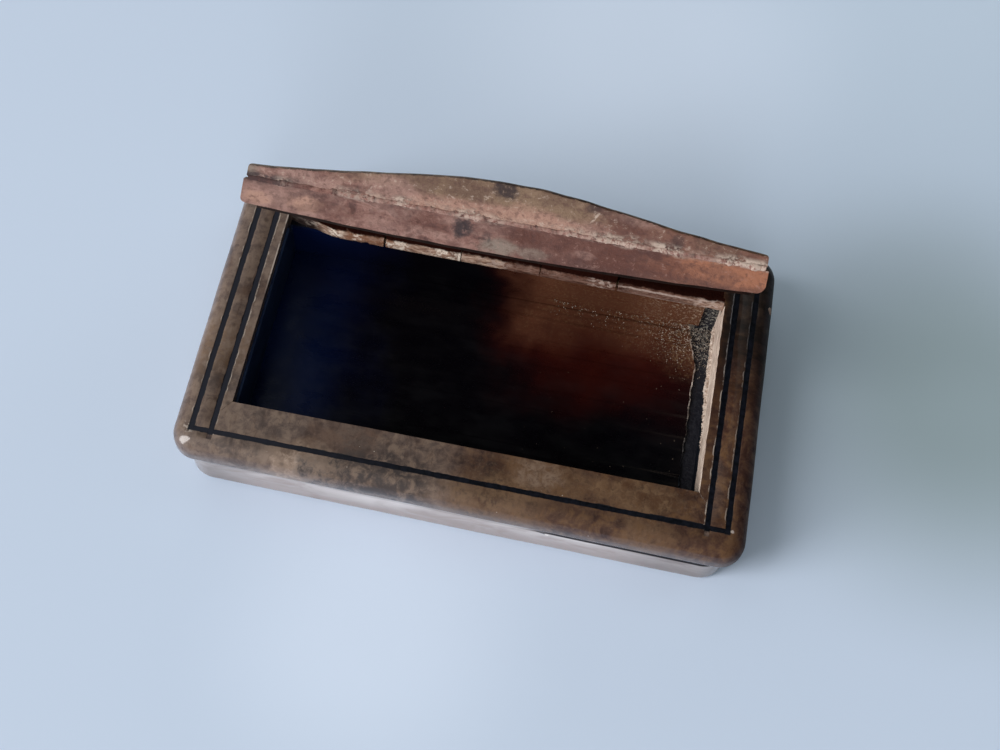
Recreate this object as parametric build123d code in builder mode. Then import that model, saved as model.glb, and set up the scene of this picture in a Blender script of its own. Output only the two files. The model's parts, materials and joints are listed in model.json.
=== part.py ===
from build123d import *
import os
from math import cos, radians, sin, sqrt, tan

# Wooden snuff box with a hinge worked in the wood itself, its lid standing open.
# Millimetres. X runs along the box, Y from the thumb edge back to the hinge, Z up.
# The origin is the middle of the underside.

# Box
box_length = 82.4
box_depth = 50.0
box_height = 12.0
front_skew = 0.95
right_taper = 0.35
left_taper = 0.25
rim_height = 4.3
side_overhang = 1.4
end_overhang = 0.9
rim_corner = 3.7
body_corner = 4.0
rim_top_round = 2.4
rim_bottom_round = 1.0
body_bottom_round = 1.0
floor_thickness = 2.0

# Borders of the top: from the rim's edge to the black lines, and from those to the opening
side_border = 2.675
end_border = 3.325
side_lip_width = 1.425
front_lip_width = 4.725
lip_thickness = 1.4
mitre_run = 1.9

# Black stringing
string_width = 0.75
string_depth = 0.7
string_spacing = 2.85
string_overrun = 0.9

# Hinge
rail_thickness = 3.0
barrel_radius = 1.25
barrel_proud = 1.7
knuckle_length = 12.0
knuckle_shift = -0.6
knuckle_side_gap = 0.15
socket_gap = 0.15
relief_angle = 40.0
neck_width = 1.2
neck_root = 0.75
worn_length = 9.0
worn_depth = 0.9
pin_radius = 0.45
pin_running_gap = 0.05
pin_left_inset = 8.0
plug_radius = 0.6
plug_setback = 0.15

# Lid
lid_open_angle = 57.5
lid_side_inset = 1.05
lid_shift = 0.75
lid_skew = 0.6
lid_front_inset = 0.2
lid_seat_gap = 0.15
board_thickness = 4.1
board_belly = 0.9
board_left_corner = 0.6
board_right_corner = 1.2
crown_inset = 0.3
crown_end_height = 1.8
crown_middle_height = 5.1
crown_end_slope = 0.05
crown_arris = 0.5
quirk = 0.25

# Lining
floor_lining_thickness = 0.5
wall_lining_thickness = 0.4
torn_edge_inset = 2.1
torn_edge_wave = 0.3
lid_lining_thickness = 0.4
lid_lining_margin = 0.7

# Places that follow from the sizes
rim_bottom = box_height - rim_height
outer_line_x = box_length / 2 - side_border - string_width / 2
inner_line_x = outer_line_x - string_spacing
end_line_y = box_depth / 2 - end_border - string_width / 2
lip_edge_x = inner_line_x - string_width / 2
lip_edge_y = end_line_y - string_width / 2
lip_bottom = box_height - lip_thickness
half_opening_x = lip_edge_x - side_lip_width
half_opening_y = lip_edge_y - front_lip_width
line_bottom = box_height - string_depth

axis_y = half_opening_y - barrel_proud + barrel_radius
axis_z = box_height - barrel_radius
rail_front_y = axis_y - barrel_radius
rail_bottom = box_height - rail_thickness
knuckle_cuts = [knuckle_shift + knuckle_length * (i - 1.5) for i in range(4)]
fixed_spans = [
    (-half_opening_x, knuckle_cuts[0]),
    (knuckle_cuts[1], knuckle_cuts[2]),
    (knuckle_cuts[3], half_opening_x),
]
moving_spans = [(knuckle_cuts[0], knuckle_cuts[1]), (knuckle_cuts[2], knuckle_cuts[3])]
pin_left = pin_left_inset - half_opening_x
pin_right = outer_line_x + string_width / 2 + plug_setback

# The lid is drawn closed, measured from the hinge axis, and then swung open about it. Its boards
# sit a little to the right of the opening and a little askew, their right end higher.
lid_underside = barrel_radius + lid_seat_gap
lid_back = lid_underside
lid_depth = axis_y + lip_edge_y - lid_front_inset - lid_back
lid_joint = lid_underside + board_thickness
half_lid = lip_edge_x - lid_side_inset
half_crown = half_lid - crown_inset
belly_radius = (half_lid**2 + board_belly**2) / (2 * board_belly)
hinge_frame = Location((0, axis_y, axis_z))
lid_frame = Location((0, axis_y, axis_z), (-lid_open_angle, 0, 0))
board_frame = lid_frame * Location((lid_shift, 0, 0), (0, -lid_skew, 0))
lid_up = Axis((0, axis_y, axis_z), (0, sin(radians(lid_open_angle)), cos(radians(lid_open_angle))))

floor_level = floor_thickness + floor_lining_thickness


def from_axis(plane):
    """A plane measured from the hinge axis, carried to the box."""
    return Plane(hinge_frame * plane.location)


def on_lid(plane):
    """A plane of the closed lid, measured from the hinge axis, carried to the open lid."""
    return Plane(lid_frame * plane.location)


def on_boards(plane):
    """The same for the lid's boards, with their shift and skew."""
    return Plane(board_frame * plane.location)


def plan(level, side_inset, end_inset, corner):
    """Outline of the box from above. Its front and both its sides are a little out of square."""
    half_x = box_length / 2 - side_inset
    half_y = box_depth / 2 - end_inset
    with BuildSketch(Plane.XY.offset(level)) as outline:
        with BuildLine():
            Polyline(
                (-half_x, half_y),
                (-half_x + left_taper, -half_y + front_skew / 2),
                (half_x, -half_y - front_skew / 2),
                (half_x - right_taper, half_y),
                close=True,
            )
        make_face()
        fillet(outline.vertices(), corner)
    return outline.sketch


def slab(x_limits, y_limits, z_limits, mode=Mode.ADD):
    """A squared block between three pairs of limits."""
    with BuildSketch(Plane.XY.offset(z_limits[0])) as outline:
        with Locations((sum(x_limits) / 2, sum(y_limits) / 2)):
            Rectangle(x_limits[1] - x_limits[0], y_limits[1] - y_limits[0])
    extrude(outline.sketch, amount=z_limits[1] - z_limits[0], mode=mode)


def rod(left, right, radius, mode=Mode.ADD):
    """A round along the hinge axis."""
    with BuildSketch(from_axis(Plane.YZ.offset(left))) as outline:
        Circle(radius)
    extrude(outline.sketch, amount=right - left, mode=mode)


def save(piece, name):
    """Name a finished piece and write its file."""
    piece.part.label = name
    export_step(piece.part, "parts/" + name + ".step")


os.makedirs("parts", exist_ok=True)

# Body: a hollowed block set in under the rim, rounded underneath
with BuildPart() as body_block:
    extrude(plan(0, side_overhang, end_overhang, body_corner), amount=rim_bottom)
    fillet(body_block.faces().sort_by(Axis.Z)[0].edges(), body_bottom_round)
    with BuildSketch(Plane.XY.offset(floor_thickness)):
        Rectangle(2 * half_opening_x, 2 * half_opening_y)
    extrude(amount=rim_bottom - floor_thickness, mode=Mode.SUBTRACT)
save(body_block, "body_block")

# Rim before anything is cut in it: a plate with a bullnose edge
with BuildPart() as rim_blank:
    extrude(plan(rim_bottom, 0, 0, rim_corner), amount=rim_height)
    fillet(rim_blank.faces().sort_by(Axis.Z)[-1].edges(), rim_top_round)
    fillet(rim_blank.faces().sort_by(Axis.Z)[0].edges(), rim_bottom_round)


# Stringing runs along both sides in pairs and once across each end of the opening.
def outer_line(side, mode=Mode.ADD):
    """The black line nearer the edge, the full depth of the pattern."""
    middle = side * outer_line_x
    reach = end_line_y + string_width / 2
    slab(
        (middle - string_width / 2, middle + string_width / 2),
        (-reach, reach),
        (line_bottom, box_height),
        mode,
    )


def inner_line(side, mode=Mode.ADD):
    """The black line beside the lipping, cut past the front line by a nick."""
    middle = side * inner_line_x
    front = -end_line_y - string_width / 2 - string_overrun
    slab(
        (middle - string_width / 2, middle + string_width / 2),
        (front, lip_edge_y),
        (line_bottom, box_height),
        mode,
    )


def cross_line(side, mode=Mode.ADD):
    """A black line across the box, between the two outer lines."""
    middle = side * end_line_y
    reach = outer_line_x - string_width / 2
    slab(
        (-reach, reach),
        (middle - string_width / 2, middle + string_width / 2),
        (line_bottom, box_height),
        mode,
    )


for side, name in ((-1, "left"), (1, "right")):
    with BuildPart() as stringing:
        outer_line(side)
    save(stringing, "stringing_outer_" + name)

    with BuildPart() as stringing:
        inner_line(side)
    save(stringing, "stringing_inner_" + name)

# The front line is cut into three where the inner lines run through it.
with BuildPart() as stringing_front:
    cross_line(-1)
    inner_line(-1, Mode.SUBTRACT)
    inner_line(1, Mode.SUBTRACT)
save(stringing_front, "stringing_front")

with BuildPart() as stringing_back:
    cross_line(1)
save(stringing_back, "stringing_back")

# Rim: carries the lippings, the stringing and the hinge rail, and the pin enters its right side
with BuildPart() as top_frame:
    add(rim_blank.part)
    slab(
        (-half_opening_x, half_opening_x),
        (-half_opening_y, half_opening_y),
        (rim_bottom, box_height),
        Mode.SUBTRACT,
    )
    slab((-lip_edge_x, lip_edge_x), (-lip_edge_y, rail_front_y), (lip_bottom, box_height), Mode.SUBTRACT)
    slab((-lip_edge_x, lip_edge_x), (rail_front_y, lip_edge_y), (rail_bottom, box_height), Mode.SUBTRACT)
    for side in (-1, 1):
        outer_line(side, Mode.SUBTRACT)
        inner_line(side, Mode.SUBTRACT)
        cross_line(side, Mode.SUBTRACT)
    rod(0, pin_right, pin_radius, Mode.SUBTRACT)
    rod(pin_right, box_length, plug_radius, Mode.SUBTRACT)
save(top_frame, "top_frame")

# Front lipping: the wide strip, mitred into the side strips at the opening's corners
with BuildPart() as front_lipping:
    with BuildSketch(Plane.XY.offset(lip_bottom)):
        with BuildLine():
            Polyline(
                (-half_opening_x, -half_opening_y),
                (-lip_edge_x, -half_opening_y - mitre_run),
                (-lip_edge_x, -lip_edge_y),
                (lip_edge_x, -lip_edge_y),
                (lip_edge_x, -half_opening_y - mitre_run),
                (half_opening_x, -half_opening_y),
                close=True,
            )
        make_face()
    extrude(amount=lip_thickness)
save(front_lipping, "front_lipping")

# Side lippings
for side, name in ((-1, "left_lipping"), (1, "right_lipping")):
    with BuildPart() as side_lipping:
        with BuildSketch(Plane.XY.offset(lip_bottom)):
            with BuildLine():
                Polyline(
                    (side * half_opening_x, -half_opening_y),
                    (side * lip_edge_x, -half_opening_y - mitre_run),
                    (side * lip_edge_x, rail_front_y),
                    (side * half_opening_x, rail_front_y),
                    close=True,
                )
            make_face()
        extrude(amount=lip_thickness)
    save(side_lipping, name)

# Hinge rail: let in behind the opening, with the three fixed knuckles worked in its front
with BuildPart() as hinge_rail:
    slab((-lip_edge_x, lip_edge_x), (half_opening_y, lip_edge_y), (rail_bottom, box_height))
    for side in (-1, 1):
        cheek = sorted((side * half_opening_x, side * lip_edge_x))
        slab(cheek, (rail_front_y, half_opening_y), (rail_bottom, box_height))
    for left, right in fixed_spans:
        rod(left, right, barrel_radius)
        slab((left, right), (axis_y, lip_edge_y), (axis_z - barrel_radius, box_height))
    # Round sockets for the moving knuckles, opened at the top for the swing of their necks
    for left, right in moving_spans:
        rod(left, right, barrel_radius + socket_gap, Mode.SUBTRACT)
        with BuildSketch(from_axis(Plane.YZ.offset(left))):
            with BuildLine():
                Polyline(
                    (0, 0),
                    (barrel_radius / tan(radians(relief_angle)), barrel_radius),
                    (0, barrel_radius),
                    close=True,
                )
            make_face()
        extrude(amount=right - left, mode=Mode.SUBTRACT)
    rod(pin_left, box_length, pin_radius, Mode.SUBTRACT)
    # The left knuckle is worn away towards the corner
    with BuildSketch(Plane.XY.offset(rail_bottom)):
        with BuildLine():
            Polyline(
                (-half_opening_x, half_opening_y + worn_depth),
                (-half_opening_x, rail_front_y),
                (-half_opening_x + worn_length, rail_front_y),
                close=True,
            )
        make_face()
    extrude(amount=rail_thickness, mode=Mode.SUBTRACT)
save(hinge_rail, "hinge_rail")

# Hinge pin, driven in from the right, and the plug that hides its end
with BuildPart() as hinge_pin:
    rod(pin_left, pin_right, pin_radius)
save(hinge_pin, "hinge_pin")

with BuildPart() as pin_plug:
    rod(pin_right, box_length, plug_radius)
    add(rim_blank.part, mode=Mode.INTERSECT)
save(pin_plug, "pin_plug")

# Floor lining: stops short of the right wall in a torn edge
with BuildPart() as lining_floor:
    torn_x = half_opening_x - torn_edge_inset
    torn_points = [
        (torn_x + torn_edge_wave, -half_opening_y),
        (torn_x - torn_edge_wave, -half_opening_y / 2),
        (torn_x, 0),
        (torn_x + torn_edge_wave, half_opening_y / 2),
        (torn_x - torn_edge_wave, half_opening_y),
    ]
    with BuildSketch(Plane.XY.offset(floor_thickness)):
        with BuildLine():
            Spline(torn_points)
            Polyline(
                torn_points[-1],
                (-half_opening_x, half_opening_y),
                (-half_opening_x, -half_opening_y),
                torn_points[0],
            )
        make_face()
    extrude(amount=floor_lining_thickness)
save(lining_floor, "lining_floor")

# Wall linings: left, front and back; the right wall has lost its own
wall_left = -half_opening_x + wall_lining_thickness
torn_wall_x = half_opening_x - torn_edge_inset - torn_edge_wave
with BuildPart() as lining_left:
    slab((-half_opening_x, wall_left), (-half_opening_y, half_opening_y), (floor_level, rail_bottom))
    slab((-half_opening_x, wall_left), (-half_opening_y, rail_front_y), (rail_bottom, lip_bottom))
save(lining_left, "lining_left")

with BuildPart() as lining_front:
    front_limits = (-half_opening_y, -half_opening_y + wall_lining_thickness)
    slab((wall_left, torn_wall_x), front_limits, (floor_level, lip_bottom))
save(lining_front, "lining_front")

with BuildPart() as lining_back:
    back_limits = (half_opening_y - wall_lining_thickness, half_opening_y)
    slab((wall_left, torn_wall_x), back_limits, (floor_level, rail_bottom))
save(lining_back, "lining_back")


def belly_rise(x):
    """Height of the lid board's hollow-bellied underside above its middle, at x."""
    return belly_radius - sqrt(belly_radius**2 - x**2)


# Lid board: the lower board, bellied underneath, with the two moving knuckles
with BuildPart() as lid_board:
    with BuildSketch(on_boards(Plane.XZ.offset(lid_back))) as board_end:
        with BuildLine():
            Polyline(
                (half_lid, lid_underside + board_belly),
                (half_lid, lid_joint),
                (-half_lid, lid_joint),
                (-half_lid, lid_underside + board_belly),
            )
            ThreePointArc(
                (-half_lid, lid_underside + board_belly),
                (0, lid_underside),
                (half_lid, lid_underside + board_belly),
            )
        make_face()
        fillet(board_end.vertices().sort_by(Axis.X)[:2].sort_by(Axis.Y)[0], board_left_corner)
        fillet(board_end.vertices().sort_by(Axis.X)[-2:].sort_by(Axis.Y)[0], board_right_corner)
    extrude(amount=lid_depth)
    chamfer(lid_board.faces().sort_by(lid_up)[-1].edges(), quirk)
    for left, right in moving_spans:
        knuckle_left = left + knuckle_side_gap
        with BuildSketch(on_lid(Plane.YZ.offset(knuckle_left))):
            Circle(barrel_radius)
            with BuildLine():
                Polyline(
                    (-barrel_radius, 0),
                    (-barrel_radius - neck_width, lid_underside + neck_root),
                    (-lid_back, lid_underside + neck_root),
                    (-lid_back, lid_underside),
                    (0, 0),
                    close=True,
                )
            make_face()
            Circle(pin_radius + pin_running_gap, mode=Mode.SUBTRACT)
        extrude(amount=right - left - 2 * knuckle_side_gap)
save(lid_board, "lid_board")

# Lid crown: the upper board, arched along the box and flattening towards its ends
with BuildPart() as lid_crown:
    with BuildSketch(on_boards(Plane.XZ.offset(lid_back))):
        with BuildLine():
            Spline(
                (-half_crown, lid_joint + crown_end_height),
                (0, lid_joint + crown_middle_height),
                (half_crown, lid_joint + crown_end_height),
                tangents=[(1, crown_end_slope), (1, -crown_end_slope)],
            )
            Polyline(
                (half_crown, lid_joint + crown_end_height),
                (half_crown, lid_joint),
                (-half_crown, lid_joint),
                (-half_crown, lid_joint + crown_end_height),
            )
        make_face()
    extrude(amount=lid_depth)
    fillet(lid_crown.faces().sort_by(lid_up)[-1].edges(), crown_arris)
    chamfer(lid_crown.faces().sort_by(lid_up)[0].edges(), quirk)
save(lid_crown, "lid_crown")

# Lid lining: a thin sheet under the board, inside the opening when the lid is shut
with BuildPart() as lid_lining:
    half_sheet = half_opening_x - lid_lining_margin
    sheet_top = lid_underside + belly_rise(half_sheet)
    sheet_back = barrel_radius + neck_width + lid_lining_margin
    sheet_front = axis_y + half_opening_y - lid_lining_margin
    with BuildSketch(on_boards(Plane.XZ.offset(sheet_back))):
        with BuildLine():
            ThreePointArc((-half_sheet, sheet_top), (0, lid_underside), (half_sheet, sheet_top))
            Line((half_sheet, sheet_top), (half_sheet, sheet_top - lid_lining_thickness))
            ThreePointArc(
                (half_sheet, sheet_top - lid_lining_thickness),
                (0, lid_underside - lid_lining_thickness),
                (-half_sheet, sheet_top - lid_lining_thickness),
            )
            Line((-half_sheet, sheet_top - lid_lining_thickness), (-half_sheet, sheet_top))
        make_face()
    extrude(amount=sheet_front - sheet_back)
save(lid_lining, "lid_lining")
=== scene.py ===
import json
import math
import random

import bmesh
import bpy
from mathutils import Matrix, Vector, noise


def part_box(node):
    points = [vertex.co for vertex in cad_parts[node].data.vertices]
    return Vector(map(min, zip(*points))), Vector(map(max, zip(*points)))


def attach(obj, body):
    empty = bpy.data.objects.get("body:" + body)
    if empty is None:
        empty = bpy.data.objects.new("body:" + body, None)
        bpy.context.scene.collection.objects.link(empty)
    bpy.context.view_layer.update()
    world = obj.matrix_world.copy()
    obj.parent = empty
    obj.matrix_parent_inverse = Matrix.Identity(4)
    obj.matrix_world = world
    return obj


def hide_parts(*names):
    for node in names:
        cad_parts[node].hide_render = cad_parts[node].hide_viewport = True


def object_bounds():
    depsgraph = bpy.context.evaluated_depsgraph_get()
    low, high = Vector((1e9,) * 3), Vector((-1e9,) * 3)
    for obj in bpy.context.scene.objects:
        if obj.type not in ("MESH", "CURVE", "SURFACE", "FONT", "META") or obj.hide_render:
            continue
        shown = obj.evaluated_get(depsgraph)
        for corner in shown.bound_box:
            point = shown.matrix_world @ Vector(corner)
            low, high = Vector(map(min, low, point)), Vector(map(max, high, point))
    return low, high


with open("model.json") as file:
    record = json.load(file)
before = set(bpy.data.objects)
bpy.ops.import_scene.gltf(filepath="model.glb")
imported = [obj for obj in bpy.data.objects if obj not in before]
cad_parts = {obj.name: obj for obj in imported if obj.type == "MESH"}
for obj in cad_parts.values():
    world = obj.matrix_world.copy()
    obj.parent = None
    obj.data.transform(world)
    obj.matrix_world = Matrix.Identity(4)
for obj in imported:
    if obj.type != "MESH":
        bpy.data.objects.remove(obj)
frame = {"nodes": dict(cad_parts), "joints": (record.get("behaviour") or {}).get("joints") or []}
cadLow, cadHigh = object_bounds()
print("frame loaded", len(frame["nodes"]), "nodes")
noise.seed_set(1)  # noise_vector would start from the clock

mm = 0.001

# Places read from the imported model, in metres
hinge = frame["joints"][0]
hingeAxis = Vector(hinge["pos_m"])
lidAngle = -hinge["range_deg"][0]  # how far the lid stands open
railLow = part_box("hinge_rail")[0]
floorLow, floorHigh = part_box("lining_floor")
lipLow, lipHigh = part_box("front_lipping")
rimLow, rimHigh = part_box("top_frame")
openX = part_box("right_lipping")[0].x
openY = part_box("lining_back")[1].y
topZ = rimHigh.z
touching = 0.01 * mm  # vertices this near to an edge belong to it


def middleOf(nodeName, axis):
    low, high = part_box(nodeName)
    return (low[axis] + high[axis]) / 2 / mm


# Middles of the black lines, in millimetres
frontLines = {
    "outer": middleOf("stringing_outer_right", 0),
    "inner": middleOf("stringing_inner_right", 0),
    "end": -middleOf("stringing_front", 1),
    "half": (lipLow.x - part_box("stringing_inner_left")[0].x) / 2 / mm,
}

# Camera: where the photograph was taken from
cameraValues = {
    "place": (0.01025, -0.10282, 0.20490),
    "turn": (27.009, -3.2035, 10.569),
    "lens": 54,
    "sensor": 36,
    "clip": (0.005, 20),
}
camera = bpy.data.objects.new("camera", bpy.data.cameras.new("camera"))
bpy.context.scene.collection.objects.link(camera)
camera.location = cameraValues["place"]
camera.rotation_euler = [math.radians(a) for a in cameraValues["turn"]]
camera.data.lens = cameraValues["lens"]
camera.data.sensor_width = cameraValues["sensor"]
camera.data.clip_start, camera.data.clip_end = cameraValues["clip"]
bpy.context.scene.camera = camera


# Node helpers: every material below is wired with these, in the tree of the sockets they are given
def isWired(value):
    return isinstance(value, bpy.types.NodeSocket)


def feed(node, inputs):  # sockets are linked, plain values become the inputs' own
    for key, value in inputs.items():
        target = node.inputs[key]
        if isWired(value):
            node.id_data.links.new(value, target)
        else:
            target.default_value = (*value, 1) if target.type == "RGBA" else value


def addNode(near, kind, inputs=None, **settings):
    made = near.id_data.nodes.new(kind)
    for key, value in settings.items():
        setattr(made, key, value)
    feed(made, inputs or {})
    return made


def stretched(coords, scale, turn=(0, 0, 0)):
    inputs = {"Vector": coords, "Scale": scale, "Rotation": turn}
    return addNode(coords, "ShaderNodeMapping", inputs).outputs[0]


def boxCoords(near):  # millimetres in the box's own frame
    return stretched(addNode(near, "ShaderNodeTexCoord").outputs["Object"], (1 / mm, 1 / mm, 1 / mm))


def lidCoords(near):  # millimetres on the shut lid's boards, from the hinge axis
    place = addNode(near, "ShaderNodeTexCoord").outputs["Object"]
    shut = addNode(near, "ShaderNodeMapping", {
        "Vector": place,
        "Location": hingeAxis,
        "Rotation": (math.radians(-lidAngle), 0, 0),
        "Scale": (mm, mm, mm),
    }, vector_type="TEXTURE").outputs[0]
    return addNode(near, "ShaderNodeMapping", {
        "Vector": shut, "Rotation": (0, math.radians(-lidEdge["skew"]), 0),
    }, vector_type="TEXTURE").outputs[0]


def newMaterial(name, coordsOf=boxCoords):
    material = bpy.data.materials.new(name)
    material.use_nodes = True
    nodes = material.node_tree.nodes
    nodes.clear()
    shader = nodes.new("ShaderNodeBsdfPrincipled")
    feed(nodes.new("ShaderNodeOutputMaterial"), {0: shader.outputs[0]})
    return material, shader, coordsOf(shader)


def noiseOf(coords, scale, detail=3, roughness=0.5, distortion=0):
    return addNode(coords, "ShaderNodeTexNoise", {
        "Vector": coords, "Scale": scale, "Detail": detail, "Roughness": roughness, "Distortion": distortion,
    }).outputs[0]


def cellsOf(coords, scale):
    return addNode(coords, "ShaderNodeTexVoronoi", {"Vector": coords, "Scale": scale}).outputs["Distance"]


def rampOf(factor, stops):  # each stop is a place and a colour
    ramp = addNode(factor, "ShaderNodeValToRGB", {"Fac": factor})
    elements = ramp.color_ramp.elements
    while len(elements) < len(stops):
        elements.new(0.5)
    for element, (position, colour) in zip(elements, stops):
        element.position = position
        element.color = (*colour, 1)
    return ramp.outputs[0]


def between(value, low, high, start=0, end=1):
    return addNode(value, "ShaderNodeMapRange", {
        "Value": value, "From Min": low, "From Max": high, "To Min": start, "To Max": end,
    }, interpolation_type="SMOOTHSTEP").outputs[0]


def mathOf(operation, first, second=0):
    near = first if isWired(first) else second
    return addNode(near, "ShaderNodeMath", {0: first, 1: second}, operation=operation).outputs[0]


def chained(operation, values):
    total = values[0]
    for value in values[1:]:
        total = mathOf(operation, total, value)
    return total


def times(*values):
    return chained("MULTIPLY", values)


def plus(*values):
    return chained("ADD", values)


def minus(*values):
    return chained("SUBTRACT", values)


def larger(*values):
    return chained("MAXIMUM", values)


def swing(value, size):  # a noise turned into an offset on both sides of nought
    return times(minus(value, 0.5), size)


def distanceTo(value, place):
    return mathOf("ABSOLUTE", minus(value, place))


def mixOf(factor, first, second, blend="MIX"):
    near = factor if isWired(factor) else first
    return addNode(near, "ShaderNodeMix", {0: factor, 6: first, 7: second}, data_type="RGBA",
                   blend_type=blend).outputs[2]


def layered(colour, tones, layers):  # tones laid over a colour in turn, each through its own mask
    for mask, shade in layers:
        colour = mixOf(mask, colour, tones[shade])
    return colour


def axesOf(coords):
    return addNode(coords, "ShaderNodeSeparateXYZ", {"Vector": coords}).outputs


def reachOf(coords, place):
    inputs = {0: coords, 1: place}
    return addNode(coords, "ShaderNodeVectorMath", inputs, operation="DISTANCE").outputs["Value"]


def bumpOf(height, strength, distance, normal=None):
    inputs = {"Height": height, "Strength": strength, "Distance": distance * mm}
    if normal is not None:
        inputs["Normal"] = normal
    return addNode(height, "ShaderNodeBump", inputs).outputs[0]


# Burr: mottled ground, soft dark clouds and small eyes; greyer at the left, redder at the right
def burrColour(coords, values):
    x, y, z = axesOf(coords)
    cloud = noiseOf(coords, values["cloud"], 3, 0.5, 0.6)
    mottle = noiseOf(coords, values["mottle"], 8, 0.66, 0.4)
    cool = rampOf(mottle, [
        (0.36, values["coolDark"]), (0.49, values["cool"]), (0.62, values["coolLight"]),
    ])
    warm = rampOf(mottle, [
        (0.36, values["warmDark"]), (0.48, values["warm"]), (0.6, values["warmLight"]),
    ])
    across = plus(x, swing(cloud, values["drift"]))
    redder = between(across, values["turn"] - values["soft"], values["turn"] + values["soft"])
    colour = mixOf(redder, cool, warm)
    patches = between(noiseOf(coords, values["cloud"] * 1.7, 4, 0.5, 0.8), 0.5, 0.64, 0, 0.75)
    colour = mixOf(patches, colour, values["shade"], "MULTIPLY")
    streaks = noiseOf(stretched(coords, (1.5, 0.4, 1)), values["mottle"] * 1.8, 4, 0.6, 0.5)
    colour = mixOf(between(streaks, 0.5, 0.72, 0, 0.6), colour, values["shade"], "MULTIPLY")
    some = between(noiseOf(coords, 0.17, 1), 0.46, 0.56)
    eyes = times(between(cellsOf(coords, 0.5), 0.3, 0.05), some)
    colour = mixOf(times(eyes, 0.6), colour, values["eye"])
    fine = noiseOf(coords, 2.6, 4, 0.7)
    pores = between(fine, 0.57, 0.72)
    colour = mixOf(times(pores, 0.45), colour, values["eye"])
    colour = mixOf(between(fine, 0.46, 0.32, 0, 0.22), colour, values["coolLight"])
    return colour, mottle, pores


def specks(coords, scale, size):  # pale flecks of dirt caught in the polish
    dots = between(cellsOf(coords, scale), size, size * 0.4)
    few = between(noiseOf(coords, scale * 0.5, 0), 0.52, 0.56)
    return times(dots, few)


def lineAt(value, place, width):  # a thin line where value passes place
    return between(distanceTo(value, place), width, width * 0.3)


def spotAt(coords, place, radius, wobble):  # a patch with an uneven border
    away = plus(reachOf(coords, place), swing(wobble, radius * 2))
    return between(away, radius * 1.4, radius * 0.6)


polishedBurr = {
    "cloud": 0.06,
    "mottle": 0.55,
    "turn": 2,
    "drift": 60,
    "soft": 16,
    "coolDark": (0.085, 0.054, 0.044),
    "cool": (0.14, 0.094, 0.074),
    "coolLight": (0.19, 0.132, 0.1),
    "warmDark": (0.032, 0.0115, 0.0065),
    "warm": (0.078, 0.037, 0.021),
    "warmLight": (0.12, 0.06, 0.028),
    "gold": (0.19, 0.108, 0.056),
    "sand": (0.31, 0.225, 0.175),
    "brown": (0.04, 0.027, 0.025),
    "russet": (0.045, 0.015, 0.009),
    "shade": (0.46, 0.34, 0.3),
    "eye": (0.026, 0.011, 0.008),
    # pale: worn wood, chips and dirt, and also the painted highlights on the groove edges and the arris
    "worn": (0.42, 0.35, 0.3),
    "stain": (0.004, 0.004, 0.007),
}
# patches of figure: x, y, reach and strength of each
burrFigure = (
    ("gold", -21, -23.6, 3.6, 0.8), ("sand", -22, -23.8, 3.2, 1), ("brown", -13.2, -23.6, 4.6, 1),
    ("brown", -9, -24, 3.6, 1), ("brown", -31, -23.4, 2.4, 0.5), ("gold", 4.5, -23.8, 4.2, 0.6),
    ("gold", 12.5, -18.9, 4, 0.6), ("sand", 11, -18.2, 2, 0.4), ("sand", -15, -17.8, 2.2, 0.2),
    ("brown", -27.5, -18.6, 2.6, 0.5), ("brown", -8, -18.4, 4, 0.5), ("gold", 25, -18.4, 3.4, 0.7),
    ("brown", -36.7, -12, 2.6, 0.7), ("gold", -39.6, -8, 5, 0.45), ("russet", 15, -23.2, 2.2, 0.5),
    ("russet", 20.5, -24.2, 2.6, 0.35), ("russet", 34, -23.8, 3.2, 0.6), ("gold", 27.5, -24, 2.2, 0.5),
    ("russet", 40, 0, 12, 0.5),
)
# edges of the grooves, painted pale as highlights where they catch the light, and how strong each one is
grooveLinesAndHighlights = (
    (-frontLines["outer"], -1, 0.55), (-frontLines["inner"], 1, 0.8),
    (frontLines["inner"], -1, 0.9), (frontLines["outer"], -1, 0.5),
)
# wear, dirt, painted highlights and painted shade: pairs are where each one begins and where it is full
rimMarks = {
    "right": (33, 35),
    "back": (-3, 5),
    "streaks": (0.25, 0.18, 0.15),
    "arris": -openX / mm - 0.1,
    "arrisBack": (1, 6),
    "chip": (frontLines["outer"] + 0.65, -frontLines["end"] + 0.1, 12),
    "scratch": (-frontLines["outer"] - 0.3, -frontLines["end"] + 0.1, 12),
    "side": (38, 40.6),
    "sideShade": (0.54, 0.54, 0.9),
    "sootRight": (33.2, 34.4),
    "sootBack": (-3, 11),
    "soot": (0.3, 0.34, 0.44),
    "dullRight": (37, 40),
    "shinyFront": (-20.5, -23),
}


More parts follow.
